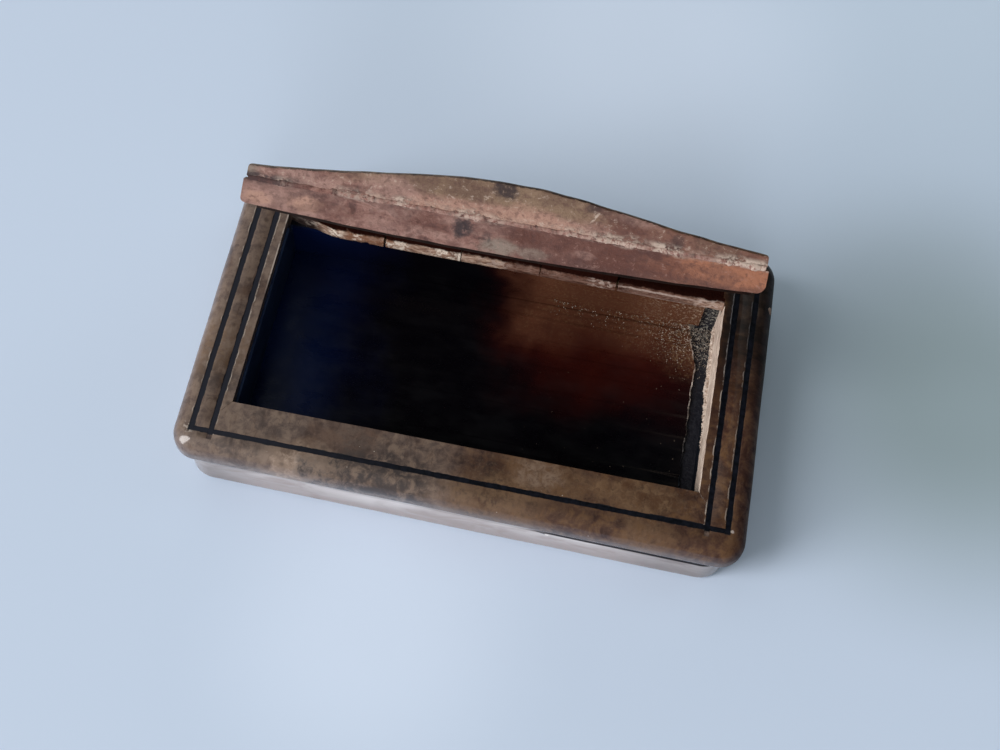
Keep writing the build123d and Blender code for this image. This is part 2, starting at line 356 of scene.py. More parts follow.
def burrMaterial(name, values):
    material, shader, coords = newMaterial(name)
    x, y, z = axesOf(coords)
    colour, mottle, pores = burrColour(coords, values)
    wobble = noiseOf(coords, 0.35, 5, 0.6)
    curl = noiseOf(coords, 1.1, 6, 0.7, 0.8)
    ground = times(between(mottle, 0.64, 0.42, 0.15, 1), between(curl, 0.62, 0.42, 0.35, 1))
    squeeze = 0.6
    squeezed = stretched(coords, (squeeze, 1, 0))
    for shade, across, along, reach, strength in burrFigure:
        spot = spotAt(squeezed, (across * squeeze, along, 0), reach, wobble)
        colour = mixOf(times(spot, ground, strength), colour, values[shade])
    colour = mixOf(specks(coords, 0.42, 0.05), colour, values["worn"])
    # dark streaks run across the right side towards the back
    cross = noiseOf(stretched(coords, (0.12, 1, 1)), 0.7, 4, 0.6, 0.3)
    cross = between(cross, 0.46, 0.6, 0, 0.75)
    cross = times(cross, between(y, *rimMarks["back"]), between(x, *rimMarks["right"]))
    colour = mixOf(cross, colour, rimMarks["streaks"], "MULTIPLY")
    # black from the lines has crept a little way into the wood, unevenly
    broken = noiseOf(coords, 0.5, 5, 0.65)
    creep = between(noiseOf(coords, 0.5, 4, 0.6), 0.4, 0.68, -0.03, 0.1)
    inside = between(mathOf("ABSOLUTE", y), frontLines["end"] + 0.6, frontLines["end"] + 0.35)
    lines = [(x, middle, inside) for middle, side, strength in grooveLinesAndHighlights]
    within = between(mathOf("ABSOLUTE", x), frontLines["outer"] + 0.6, frontLines["outer"] + 0.35)
    lines += [(y, -frontLines["end"], within)]
    for value, middle, mask in lines:
        away = minus(distanceTo(value, middle), creep)
        stain = between(away, frontLines["half"] + 0.05, frontLines["half"] - 0.03)
        colour = mixOf(times(stain, mask), colour, values["stain"])
    # painted highlight: a pale line along one edge of each groove, where the edge catches the light
    for middle, side, strength in grooveLinesAndHighlights:
        place = plus(times(creep, side), middle + side * (frontLines["half"] + 0.1))
        edge = between(distanceTo(x, place), 0.11, 0.04)
        edge = times(edge, between(broken, 0.42, 0.6, 0, strength), inside)
        colour = mixOf(edge, colour, values["worn"])
    # painted highlight on the arris beside the opening, at the left towards the back, where it catches the
    # light
    arris = times(lineAt(x, rimMarks["arris"], 0.15), between(y, *rimMarks["arrisBack"], 0, 0.75))
    colour = mixOf(times(arris, between(broken, 0.4, 0.52)), colour, values["worn"])
    # a chip at the right end of the front line, and a scratched corner at the left one
    chipped = spotAt(coords, rimMarks["chip"], 0.24, broken)
    scratched = spotAt(coords, rimMarks["scratch"], 0.9, broken)
    scratched = times(scratched, between(noiseOf(coords, 2.2, 3), 0.5, 0.62, 0, 0.7))
    colour = mixOf(larger(chipped, scratched), colour, values["worn"])
    # painted shade on the rim's right side, which faces away from the light, and near-black painted shadow of
    # the lid behind between the lines
    colour = mixOf(between(x, *rimMarks["side"], 0, 0.75), colour, rimMarks["sideShade"], "MULTIPLY")
    lidShadowed = times(between(x, *rimMarks["sootRight"]), between(y, *rimMarks["sootBack"], 0, 0.95))
    colour = mixOf(lidShadowed, colour, rimMarks["soot"], "MULTIPLY")
    scratch = noiseOf(stretched(coords, (0.12, 3.2, 1), (0, 0, 0.5)), 2.2, 2)
    hollow = plus(times(pores, -0.5), between(scratch, 0.62, 0.75, 0, -0.4))
    wave = noiseOf(coords, 0.16, 2)
    dull = between(x, *rimMarks["dullRight"], 1, 0)  # the right side has lost its shine
    feed(shader, {
        "Base Color": colour,
        "Roughness": between(mottle, 0.3, 0.7, 0.5, 0.36),
        "Specular IOR Level": between(x, 38.5, 41, 0.3, 0.06),
        "Normal": bumpOf(wave, 0.6, 0.3, bumpOf(hollow, 0.4, 0.05)),
        "Coat Normal": bumpOf(wave, 0.6, 0.25),
        "Coat Weight": times(between(y, *rimMarks["shinyFront"], 0.55, 1), dull),
        "Coat Roughness": 0.07,
    })
    return material


rimWood = burrMaterial("polishedBurr", polishedBurr)


# Body: the same wood with a bright polish, painted pale: a painted reflection of the pale table
bodyValues = {
    "dark": (0.36, 0.29, 0.27),
    "middle": (0.53, 0.475, 0.465),
    "light": (0.62, 0.57, 0.56),
    "foot": (0.23, 0.165, 0.14),
    "ends": (0.56, 0.54, 0.52),
    # where the painted shade line under the rim lies
    "jointLow": (5.58, 5.74),
    "jointHigh": (6.6, 6.45),
    "jointTilt": 0.006,
    "jointFrom": (9, 15),
    "crack": (12.9, 10.75),  # x, and its height where x is 0
    "crackTilt": 0.4,
    "dot": (13.7, 5.2),
    "dotShade": (0.8, 0.74, 0.7),
    "frontOnly": (-22.5, -20.5),
}


def bodyMaterial():
    material, shader, coords = newMaterial("paleBurr")
    x, y, z = axesOf(coords)
    mottle = noiseOf(stretched(coords, (0.35, 1, 1)), 0.35, 5, 0.6, 0.7)
    colour = rampOf(mottle, [
        (0.32, bodyValues["dark"]), (0.5, bodyValues["middle"]), (0.7, bodyValues["light"]),
    ])
    lower = between(plus(z, times(mottle, 3)), 8, 3, 0, 0.75)
    colour = mixOf(lower, colour, bodyValues["foot"])
    ends = larger(between(x, -27, -35), between(x, 21, 32))
    colour = mixOf(times(ends, 0.95), colour, bodyValues["ends"], "MULTIPLY")
    # painted shade: a dark line just under the rim's edge, along the right half of the front, where shade
    # falls under the overhang
    under = plus(z, times(x, bodyValues["jointTilt"]))
    under = times(between(under, *bodyValues["jointLow"]), between(under, *bodyValues["jointHigh"]),
                  between(x, *bodyValues["jointFrom"], 0.25, 0.95))
    colour = mixOf(under, colour, polishedBurr["stain"])
    # a short crack with a pale end, just under the rim
    across, height = bodyValues["crack"]
    crack = plus(z, times(x, bodyValues["crackTilt"]))
    crack = times(lineAt(crack, height, 0.2), lineAt(x, across, 1.1))
    colour = mixOf(crack, colour, polishedBurr["stain"])
    across, height = bodyValues["dot"]
    dot = between(times(lineAt(x, across, 0.4), lineAt(z, height, 0.3)), 0.3, 0.6)
    colour = mixOf(dot, colour, bodyValues["dotShade"])
    colour = mixOf(between(y, *bodyValues["frontOnly"]), colour, polishedBurr["cool"])
    feed(shader, {
        "Base Color": colour,
        "Roughness": 0.45,
        "Specular IOR Level": between(under, 0, 0.9, 0.5, 0.03),
        "Normal": bumpOf(noiseOf(coords, 0.16, 2), 0.6, 0.3),
        "Coat Weight": between(under, 0, 0.9, 0.9, 0),
        "Coat Roughness": 0.12,
    })
    return material


bodyWood = bodyMaterial()
print("burr materials ready")

# Free edge of the lid: pinkish worn wood, two boards with pale crumbs along their joint
lidEdge = {
    "depth": 36.475,  # from the hinge axis to the free edge
    "joint": 5.5,
    "skew": 0.6,  # degrees the boards stand askew on the knuckles
    "umber": (0.13, 0.072, 0.05),
    "pink": (0.225, 0.11, 0.09),
    "rose": (0.34, 0.2, 0.168),
    "salmon": (0.42, 0.24, 0.18),
    "plum": (0.082, 0.036, 0.032),
    "red": (0.105, 0.037, 0.027),
    "orange": (0.37, 0.15, 0.085),
    "tan": (0.22, 0.142, 0.09),
    "russet": (0.17, 0.074, 0.05),
    "grey": (0.25, 0.2, 0.165),
    "crumb": (0.56, 0.44, 0.37),
    "knot": (0.035, 0.022, 0.025),
    "under": (0.03, 0.012, 0.008),
    "outer": (0.35, 0.22, 0.17),
    "dirtTo": (-23, -29),
    "scuff": (-13.4, 8, -1.8),  # place, height and slant of a pale scratch
}
# patches on the edge of each board: x, height above the hinge axis, reach and strength of each
upperFigure = (
    ("rose", -26.5, 6.4, 1.3, 0.8), ("rose", -14, 7.2, 1.5, 0.7), ("umber", -4.5, 8.8, 1.4, 0.8),
    ("umber", 6.8, 9.6, 1, 0.6), ("plum", 12.4, 9.2, 0.7, 0.7), ("salmon", 3, 7, 1.2, 0.5),
    ("red", 16, 7.4, 1.2, 0.7), ("rose", 17.5, 8.8, 1, 0.6), ("umber", 28, 7.2, 1.3, 0.6),
)
lowerFigure = (
    ("salmon", -31.2, 3.3, 0.8, 0.8), ("rose", -28.5, 3.9, 0.7, 0.6), ("salmon", -25, 3.3, 0.9, 0.9),
    ("red", -20.5, 3.2, 1.1, 0.5), ("rose", -14.5, 2.4, 0.9, 0.4), ("red", -8.5, 3.8, 1.1, 0.6),
    ("grey", 0.5, 2.4, 1, 0.8), ("grey", 5, 2.1, 0.7, 0.6), ("red", 3.5, 4.2, 1.1, 0.9),
    ("red", 15.5, 3.4, 1.6, 0.8), ("rose", 11.5, 3.2, 0.5, 0.5), ("red", 22, 3.2, 1.2, 0.6),
)
# heaps of pale crumbs along the joint: x, reach and strength
crumbHeaps = (
    (-28, 1.6, 0.45), (-18.6, 4, 0.55), (-12.4, 2, 0.75), (-16, 1.2, 0.4), (-4, 2.6, 0.75),
    (-0.4, 2, 0.5), (9.4, 2.4, 0.6), (15, 5.4, 0.85), (21.6, 3.2, 0.95), (31.6, 5.8, 1),
)
# knots in the edge of both boards: x, height, radius and strength
edgeKnots = (
    (0.2, 9.6, 1.35, 0.9), (-4.6, 3.9, 1.25, 0.95), (11.6, 9.3, 0.9, 0.6), (22.5, 6.9, 0.9, 0.6),
    (-1.2, 3.2, 0.6, 0.6),
)


def heapsOf(x):
    heap = between(x, -24, -18, 0, 0.22)
    for middle, reach, strength in crumbHeaps:
        heap = larger(heap, times(lineAt(x, middle, reach), strength))
    return heap


def lidMaterial(name, upper):
    material, shader, coords = newMaterial(name, lidCoords)
    x, y, z = axesOf(coords)
    outer, mottle, pores = burrColour(coords, polishedBurr)
    outer = mixOf(0.65, outer, lidEdge["outer"], "MULTIPLY")
    edgeNoise = noiseOf(stretched(coords, (0.5, 1, 1)), 0.5, 7, 0.64, 0.5)
    fine = noiseOf(stretched(coords, (0.8, 1, 1.1)), 1.5, 6, 0.74, 0.3)
    blotch = noiseOf(stretched(coords, (0.7, 1, 1)), 0.28, 5, 0.6, 0.3)
    wobble = noiseOf(coords, 0.7, 5, 0.65)
    front = -lidEdge["depth"]
    edge = rampOf(edgeNoise, [
        (0.36, lidEdge["plum"]), (0.47, lidEdge["pink"]), (0.6, lidEdge["rose"]), (0.72, lidEdge["pink"]),
    ])
    ragged = swing(edgeNoise, 3)
    high = plus(z, ragged)
    along = plus(x, times(ragged, 6))
    if upper:
        salmon = times(between(high, 8, 6.6), between(along, -22, -12), between(along, 18, 8, 0, 0.75))
        tan = times(between(high, 6.8, 8), between(along, -26, -14), between(along, 20, 10, 0.2, 0.9))
        edge = layered(edge, lidEdge, (
            (salmon, "salmon"),
            (tan, "tan"),
            (between(along, 9, 22, 0, 0.8), "russet"),
            (between(x, -30.5, -32.5, 0, 0.8), "grey"),
        ))
    else:
        edge = layered(edge, lidEdge, (
            (between(x, -20, -30, 0, 0.55), "rose"),
            (between(along, -4, 9, 0, 0.8), "red"),
            (between(along, 17, 26, 0, 0.85), "orange"),
            # painted shade: the lower board's rounded edge darker towards its bottom, at the right
            (times(between(high, 3.2, 2.1, 0, 0.7), between(x, 6, 12)), "plum"),
            (between(high, 4.7, 5.5, 0, 0.6), "plum"),
        ))
    squeeze = 0.4
    squeezed = stretched(coords, (squeeze, 1, 1))
    for shade, across, up, reach, strength in (upperFigure if upper else lowerFigure):
        spot = spotAt(squeezed, (across * squeeze, front, up), reach, wobble)
        edge = mixOf(times(spot, strength), edge, lidEdge[shade])
    edge = layered(edge, lidEdge, (
        (between(blotch, 0.5, 0.62, 0, 0.4), "plum"),
        (between(fine, 0.5, 0.62, 0, 0.5), "plum"),
        (between(fine, 0.44, 0.33, 0, 0.5), "crumb" if upper else "rose"),
    ))
    place, up, slant = lidEdge["scuff"]
    scuff = times(lineAt(plus(z, times(x, slant)), place, 0.45), lineAt(z, up, 0.95))
    edge = mixOf(times(scuff, between(fine, 0.58, 0.46, 0.1, 0.8)), edge, lidEdge["crumb"])
    for across, up, radius, strength in edgeKnots:
        spot = times(spotAt(coords, (across, front, up), radius, wobble), strength)
        edge = mixOf(times(spot, between(fine, 0.36, 0.5, 0.45, 1)), edge, lidEdge["knot"])
    # pale crumbs lie in patches along the joint; towards the left end they give way to dark dirt
    crumbNoise = noiseOf(stretched(coords, (0.6, 1, 1)), 1.3, 5, 0.7)
    height = minus(z, swing(noiseOf(coords, 0.35, 4), 1.3), lidEdge["joint"])
    dirt = times(between(height, -0.5, -0.1), between(height, 1.1, 0.5), between(x, *lidEdge["dirtTo"]),
                 between(fine, 0.42, 0.52, 0.45, 1))
    edge = mixOf(times(dirt, 0.85), edge, lidEdge["knot"])
    band = times(between(height, -0.6, -0.1), between(height, 1.2, 0.5))
    crumbs = times(band, between(crumbNoise, 0.4, 0.54), heapsOf(x))
    edge = mixOf(times(crumbs, 0.9), edge, lidEdge["crumb"])
    faceFront = between(y, front + 0.5, front + 0.2)
    colour = mixOf(faceFront, outer, edge)
    if not upper:  # painted shade on the board's underside beyond the lining
        under = times(between(z, 2.6, 1.9), between(y, front + 0.3, front + 0.8), between(x, -30, -27))
        colour = mixOf(under, colour, lidEdge["under"])
    relief = plus(times(fine, -0.6), times(crumbs, 0.9), times(edgeNoise, 0.5))
    feed(shader, {
        "Base Color": colour,
        "Roughness": between(faceFront, 0, 1, 0.4, 0.65),
        "Specular IOR Level": 0.35,
        "Normal": bumpOf(times(relief, faceFront), 0.8, 0.3),
        "Coat Weight": between(faceFront, 0, 1, 0.8, 0.08),
        "Coat Roughness": 0.12,
    })
    return material


boardWood = lidMaterial("lidBoardWood", False)
crownWood = lidMaterial("lidCrownWood", True)


def lidTopMaterial():  # polished top and ends of the lid
    material, shader, coords = newMaterial("lidTopWood", lidCoords)
    colour, mottle, pores = burrColour(coords, {**polishedBurr, "turn": -6, "drift": 30, "soft": 30})
    x, y, z = axesOf(coords)
    nearEdge = between(plus(y, times(mottle, 1.5)), -35.2, -36, 0, 0.85)
    feed(shader, {
        "Base Color": mixOf(nearEdge, colour, (0.3, 0.17, 0.13), "MULTIPLY"),
        "Roughness": 0.42,
        "Specular IOR Level": 0.3,
        "Normal": bumpOf(noiseOf(coords, 0.16, 2), 0.6, 0.3, bumpOf(pores, 0.4, -0.05)),
        "Coat Weight": 0.9,
        "Coat Roughness": 0.09,
    })
    return material


lidTopWood = lidTopMaterial()
print("lid materials ready")


# Where the hinge rail is worn to raw wood, with painted highlights along the last knuckle and painted shadow
# over its left end, in millimetres
hingeMarks = {
    "rawEnd": -6.9,  # of the second knuckle
    "rubbed": ((11.5, 0.16), (10.35, 0.2)),  # painted highlights, thin pale lines along the last knuckle: height and width
    "rubbedAlong": (23.3, 9.5),
    "leftEnd": (-27.5, -30),
    "leftShade": (0.12, 0.11, 0.13),
    "chipLeft": (0.8, 0.68, 0.58),
    "chipRight": (0.5, 0.38, 0.33),
}


# Bare wood of the hinge and the right wall: pale, dry and dirty; on the hinge, painted shade and highlights
# too
def bareMaterial(name, values):
    material, shader, coords = newMaterial(name)
    x, y, z = axesOf(coords)
    grain = noiseOf(stretched(coords, values["grain"]), 1.1, 6, 0.68, 0.6)
    colour = rampOf(grain, [(0.32, values["dirt"]), (0.47, values["wood"]), (0.64, values["pale"])])
    stain = between(noiseOf(coords, 0.35, 4), 0.5, 0.66, 0, values["stain"])
    colour = mixOf(stain, colour, values["dirt"])
    rough = noiseOf(coords, 0.75, 5, 0.65)
    if "red" in values:  # the right half is browner, its end grey with dust
        browner = times(between(plus(x, times(rough, 3)), 0.6, 2.2, 0, 0.9), between(x, 31, 26, 0.3, 1))
        colour = mixOf(browner, colour, values["red"], "MULTIPLY")
        rusty = times(between(x, -25.5, -23.5), between(x, -16, -18.5, 0, 0.85))
        colour = mixOf(rusty, colour, values["rust"])
        # painted shadow of the left wall over the rail's left end
        colour = mixOf(between(x, *hingeMarks["leftEnd"]), colour, hingeMarks["leftShade"], "MULTIPLY")
    if "darkFrom" in values:  # pale chips, painted highlights along the last knuckle, and painted shade over the top of the rail and its barrels, in the crevice under the lid
        chips = between(noiseOf(stretched(coords, (0.7, 1, 1.2)), 1.3, 5, 0.7), 0.48, 0.58)
        worn = between(x, 36, 37, 0.12, 0.13)
        for middle, reach, strength in values["chips"]:
            worn = larger(worn, times(lineAt(x, middle, reach), strength))
        height = plus(z, swing(rough, 0.3))
        # painted highlights: thin pale lines along the last knuckle's front
        rubbed = times(larger(*[lineAt(height, *line) for line in hingeMarks["rubbed"]]),
                       lineAt(x, *hingeMarks["rubbedAlong"]), between(grain, 0.35, 0.5, 0.3, 0.85))
        chips = larger(times(chips, worn), lineAt(x, hingeMarks["rawEnd"], 0.35), rubbed)
        chipShade = mixOf(between(x, -8, -2), hingeMarks["chipLeft"], hingeMarks["chipRight"])
        colour = mixOf(chips, colour, chipShade)
        # painted shade: near-black over the top of the rail and its barrels, in the crevice under the lid
        height = plus(z, swing(rough, 0.45))
        top = between(height, values["darkFrom"], values["darkFrom"] + 0.2)
        colour = mixOf(top, colour, values["finish"])
    if "speckled" in values:  # grit on the back wall's bare corner
        grit = between(noiseOf(coords, 2.6, 4, 0.75), 0.53, 0.6, 0, values["speckled"])
        colour = mixOf(times(grit, between(y, 7, 14), between(x, 26, 30)), colour, values["grit"])
    if "darkUnder" in values:  # the wall near-black over its lower part, reaching higher towards the front and broken where the crust lies towards the back
        climb = between(y, -6, 12, 0, values["climb"])
        height = plus(z, climb, times(rough, 5))
        dark = between(height, values["darkUnder"] + 0.25, values["darkUnder"] - 0.1)
        crust = times(between(noiseOf(coords, 1.6, 4, 0.7), 0.48, 0.56), between(y, 5, 13, 0, 0.9))
        dark = times(dark, minus(1, crust))
        colour = mixOf(dark, colour, values["glue"])
    feed(shader, {
        "Base Color": colour,
        "Roughness": 0.62,
        "Specular IOR Level": between(height, 11.4, 11.7, 0.25, 0) if "darkFrom" in values else 0.25,
        "Normal": bumpOf(plus(grain, times(rough, 1.5)), 0.8, 0.2),
    })
    return material


hingeWood = bareMaterial("bareHingeWood", {
    "grain": (0.35, 1.5, 2),
    "wood": (0.3, 0.175, 0.125),
    "pale": (0.62, 0.46, 0.36),
    "dirt": (0.1, 0.045, 0.03),
    "stain": 0.6,
    "red": (0.36, 0.25, 0.24),
    "rust": (0.2, 0.085, 0.045),
    # painted shade on the rail's top, in the crevice under the lid
    "finish": (0.018, 0.005, 0.0035),
    "darkFrom": 11.68,
    # chipped stretches: x, reach and strength
    "chips": (
        (-29.5, 3, 0.3), (-26.2, 1.7, 1), (-22.6, 1.2, 0.7), (-16.6, 2.8, 0.85), (-9.2, 3, 1),
        (-1.6, 3.6, 0.6), (14.8, 3, 0.8), (31.4, 3.4, 0.95),
    ),
})
wallWood = bareMaterial("bareWallWood", {
    "grain": (1, 0.35, 1.6),
    "wood": (0.64, 0.5, 0.41),
    "pale": (0.86, 0.74, 0.64),
    "dirt": (0.3, 0.2, 0.16),
    "stain": 0.35,
    "glue": (0.002, 0.004, 0.009),
    "darkUnder": 8.7,
    "climb": 5,
})
# near-black wood: painted shade on the ledge under the lid and on the opening's left side, with grit in the
# back corner
shadedLedgeWood = bareMaterial("darkLedge", {
    "grain": (1, 1, 1),
    "wood": (0.01, 0.01, 0.016),
    "pale": (0.022, 0.023, 0.03),
    "dirt": (0.005, 0.005, 0.01),
    "stain": 0.3,
    "speckled": 0.85,
    "grit": (0.4, 0.38, 0.33),
})


# Stringing: ebonised strips under the polish; the nicks past the front line are brown
def stringMaterial():
    material, shader, coords = newMaterial("blackStringing")
    x, y, z = axesOf(coords)
    grain = noiseOf(coords, 1.4, 4, 0.6)
    colour = rampOf(grain, [(0.35, (0.001, 0.0015, 0.003)), (0.7, (0.007, 0.008, 0.014))])
    colour = mixOf(between(x, 5, -40, 0, 0.8), colour, (0.02, 0.021, 0.03))  # duller at the left
    nick = between(y, -frontLines["end"] - 0.45, -frontLines["end"] - 0.6)
    nick = times(nick, between(grain, 0.4, 0.55, 0.35, 1))
    feed(shader, {
        "Base Color": mixOf(nick, colour, polishedBurr["cool"]),
        "Roughness": 0.5,
        "Specular IOR Level": 0.12,
        "Normal": bumpOf(grain, 0.5, 0.06),
    })
    return material


blackWood = stringMaterial()


# Lining: thin dark sheet with painted light and shade: blue at the left, a painted reflection of the sky
# where the sheet lies in shade, then black, and red (painted light where light reaches it) and dusty brown in
# the back right corner
liningValues = {
    "black": (0.0012, 0.0009, 0.0022),
    "navy": (0.0012, 0.0035, 0.021),
    "red": (0.042, 0.006, 0.0038),
    "deep": (0.0035, 0.015, 0.078),
    "brown": (0.112, 0.041, 0.022),
    "dust": (0.34, 0.23, 0.12),
    "grains": (0.5, 0.42, 0.33),
    "dull": (0.5, 0.42, 0.45),
    "flecks": (0.35, 0.27, 0.2),
}


def liningMaterial(name, dusty):
    material, shader, coords = newMaterial(name)
    x, y, z = axesOf(coords)
    cloud = minus(noiseOf(coords, 0.1, 4, 0.55), 0.5)
    across = plus(x, times(cloud, 16))
    back = plus(y, times(cloud, 14))
    # painted reflection: the sky's blue on the sheet where it lies in shade at the left, black further right
    colour = mixOf(between(across, -28, -13), liningValues["navy"], liningValues["black"])
    colour = layered(colour, liningValues, (
        # deeper painted reflection of the sky at the far left, strongest towards the front
        (times(between(x, -19, -33), between(back, 12, -4, 0.35, 1)), "deep"),
        # painted light: red at the right and back where light reaches the sheet; towards the front it stays
        # black, a painted shadow of the front wall
        (times(between(across, -4, 13), between(back, -5, 9), between(x, 31, 22, 0.35, 1)), "red"),
        (times(between(across, 0, 10), between(back, 5, 15)), "brown"),
    ))
    if dusty:
        grit = between(noiseOf(coords, 2.6, 5, 0.8), 0.5, 0.68)
        middle = times(between(across, 2, 12), between(back, 7, 16), 0.45)
        corner = times(between(across, 21, 30), between(back, 5, 13), 0.9)
        colour = mixOf(times(grit, larger(middle, corner)), colour, liningValues["dust"])
        grains = between(noiseOf(coords, 3.2, 4, 0.7), 0.56, 0.62, 0, 0.7)
        reach = times(between(x, 18, 29), between(y, 7, 14))
        colour = mixOf(times(grains, reach), colour, liningValues["grains"])
        colour = mixOf(times(lineAt(x, 15, 9), 0.45), colour, liningValues["dull"], "MULTIPLY")
        flecks = times(between(cellsOf(coords, 0.8), 0.07, 0.02), between(x, 0, 26, 0, 0.8))
        colour = mixOf(flecks, colour, liningValues["flecks"])
    smear = noiseOf(stretched(coords, (0.5, 1, 1)), 0.35, 4, 0.6)
    feed(shader, {
        "Base Color": colour,
        "Roughness": between(smear, 0.35, 0.7, 0.25, 0.45),
        "Specular IOR Level": 0.22,
        "Normal": bumpOf(noiseOf(coords, 0.2, 2), 0.4, 0.4),
    })
    return material


floorSheet = liningMaterial("dustyDarkLining", True)
wallSheet = liningMaterial("darkLining", False)


def plainSheet(name, colours, roughness):  # the same sheet where it shows one colour all over
    material, shader, coords = newMaterial(name)
    smear = noiseOf(stretched(coords, (1, 0.4, 1)), 0.6, 5, 0.65)
    feed(shader, {
        "Base Color": rampOf(smear, [(0.35, colours[0]), (0.65, colours[1])]),
        "Roughness": roughness,
        "Specular IOR Level": 0.3,
        "Normal": bumpOf(noiseOf(coords, 0.3, 3), 0.4, 0.2),
    })
    return material


# the left wall's sheet, navy all over: a painted reflection of the sky on the sheet where it lies in shade
leftSheet = plainSheet("navySheet", ((0.01, 0.022, 0.07), (0.028, 0.055, 0.13)), 0.4)
lidSheet = plainSheet("brownBlackSheet", ((0.006, 0.002, 0.0015), (0.02, 0.007, 0.005)), 0.35)


def tornMaterial():  # the raw edge of the torn sheet
    material, shader, coords = newMaterial("tornEdge")
    x, y, z = axesOf(coords)
    fray = noiseOf(coords, 1.4, 4, 0.7)
    colour = rampOf(fray, [(0.34, (0.1, 0.08, 0.08)), (0.54, (0.62, 0.55, 0.5))])
    feed(shader, {"Base Color": mixOf(between(y, 2, -9), colour, (0.03, 0.04, 0.06)), "Roughness": 0.7})
    return material


tornSheet = tornMaterial()


def crumbMaterial(name, dark, middle, pale):
    material, shader, coords = newMaterial(name)
    colour = rampOf(noiseOf(coords, 1.5, 4, 0.7), [(0.36, dark), (0.5, middle), (0.66, pale)])
    feed(shader, {"Base Color": colour, "Roughness": 0.8, "Specular IOR Level": 0.2})
    return material


crumbStuff = crumbMaterial("paleCrumbs", (0.05, 0.045, 0.04), (0.26, 0.2, 0.155), (0.76, 0.7, 0.62))
crustStuff = crumbMaterial("paleCrust", (0.3, 0.21, 0.16), (0.58, 0.46, 0.38), (0.86, 0.76, 0.68))


def jointMaterial():  # what fills the joint of the lid's boards: dark dirt at the left, then pale patches
    material, shader, coords = newMaterial("jointDust", lidCoords)
    x, y, z = axesOf(coords)
    ground = noiseOf(coords, 1.1, 6, 0.7)
    colour = rampOf(ground, [(0.36, lidEdge["plum"]), (0.5, lidEdge["pink"]), (0.66, lidEdge["rose"])])
    pale = times(between(noiseOf(coords, 1.9, 5, 0.72), 0.4, 0.56), heapsOf(x), 0.85)
    colour = mixOf(pale, colour, lidEdge["crumb"])
    dark = times(between(x, *lidEdge["dirtTo"], 0, 0.85), between(ground, 0.42, 0.52, 0.45, 1))
    feed(shader, {
        "Base Color": mixOf(dark, colour, lidEdge["knot"]),
        "Roughness": 0.8,
        "Specular IOR Level": 0.2,
        "Normal": bumpOf(noiseOf(coords, 2.2, 4, 0.7), 0.7, 0.15),
    })
    return material


jointStuff = jointMaterial()


def wireMaterial():
    material, shader, coords = newMaterial("brassWire")
    tarnish = noiseOf(coords, 1.1, 4)
    feed(shader, {
        "Base Color": rampOf(tarnish, [(0.35, (0.09, 0.055, 0.03)), (0.7, (0.3, 0.2, 0.1))]),
        "Metallic": 1,
        "Roughness": between(tarnish, 0.3, 0.7, 0.5, 0.3),
    })
    return material


brassWire = wireMaterial()
print("all materials ready")


# Mesh helpers, and how finely the CAD shapes are copied
copyValues = {"merge": 0.002 * mm, "flat": math.radians(0.3), "onPlane": 1e-7}
alongX, alongY, alongZ = (1, 0, 0), (0, 1, 0), (0, 0, 1)


def copyOfNode(nodeName):  # the CAD shape, merged and with its flat faces whole again
    bm = bmesh.new()
    bm.from_mesh(frame["nodes"][nodeName].data)
    bmesh.ops.remove_doubles(bm, verts=bm.verts, dist=copyValues["merge"])
    bmesh.ops.dissolve_limit(bm, angle_limit=copyValues["flat"], verts=bm.verts, edges=bm.edges)
    return bm


def sliceUp(bm, normal, step):  # cuts across the piece, so that its long edges can waver
    axis = Vector(normal).normalized()
    reach = [v.co.dot(axis) for v in bm.verts]
    count = int((max(reach) - min(reach)) / step)
    for i in range(1, count + 1):
        place = axis * (min(reach) + i * step - step / 2)
        everything = bm.verts[:] + bm.edges[:] + bm.faces[:]
        bmesh.ops.bisect_plane(bm, geom=everything, dist=copyValues["onPlane"], plane_co=place, plane_no=axis)


def waver(bm, amount, size):  # the same slight unevenness everywhere, so that joints stay shut
    for v in bm.verts:
        v.co += noise.noise_vector(v.co / size) * amount


def addToScene(bm, name):
    mesh = bpy.data.meshes.new(name)
    bm.to_mesh(mesh)
    bm.free()
    made = bpy.data.objects.new(name, mesh)
    bpy.context.scene.collection.objects.link(made)
    return made, mesh


def makePiece(bm, name, body, materials, nodes, bevel=0, angle=30):
    for v in bm.verts:  # nothing leaves the model's own box
        v.co = [min(max(c, low), high) for c, low, high in zip(v.co, cadLow, cadHigh)]
    piece, mesh = addToScene(bm, name)
    for material in materials:
        mesh.materials.append(material)
    for polygon in mesh.polygons:
        polygon.use_smooth = True
    mesh.set_sharp_from_angle(angle=math.radians(angle))
    if bevel:
        made = piece.modifiers.new("arris", "BEVEL")
        made.width = bevel
        made.segments = 2
        made.limit_method = "ANGLE"
        made.angle_limit = math.radians(angle)
        made.harden_normals = True
        made.use_clamp_overlap = True
    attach(piece, body)
    if nodes:
        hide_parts(*nodes)
    return piece


# Rim and body
rimValues = {
    "slice": 2.5 * mm,
    "waver": 0.05 * mm,
    "waverSize": 8 * mm,
    "arris": 0.08 * mm,
    "wall": 0.3 * mm,
    "ledgeHigh": railLow.z + 0.3 * mm,
}


def facesInside(bm):  # faces that line the opening get the bare wood at the right and wood painted dark for shade at the left
    for face in bm.faces:
        middle = face.calc_center_median()
        inside = abs(middle.x) < openX + rimValues["wall"] and abs(middle.y) < openY + rimValues["wall"]
        if inside and (abs(face.normal.z) < 0.5 or middle.z < rimLow.z - mm):
            face.material_index = 1 if middle.x > 0 else 2
        elif openY - mm < middle.y < lipHigh.y + 40 * mm and rimLow.z < middle.z < rimValues["ledgeHigh"]:
            if abs(middle.x) < openX and face.normal.z > 0.5:
                face.material_index = 2  # the ledge seen past the worn knuckle, painted dark for the lid's shade


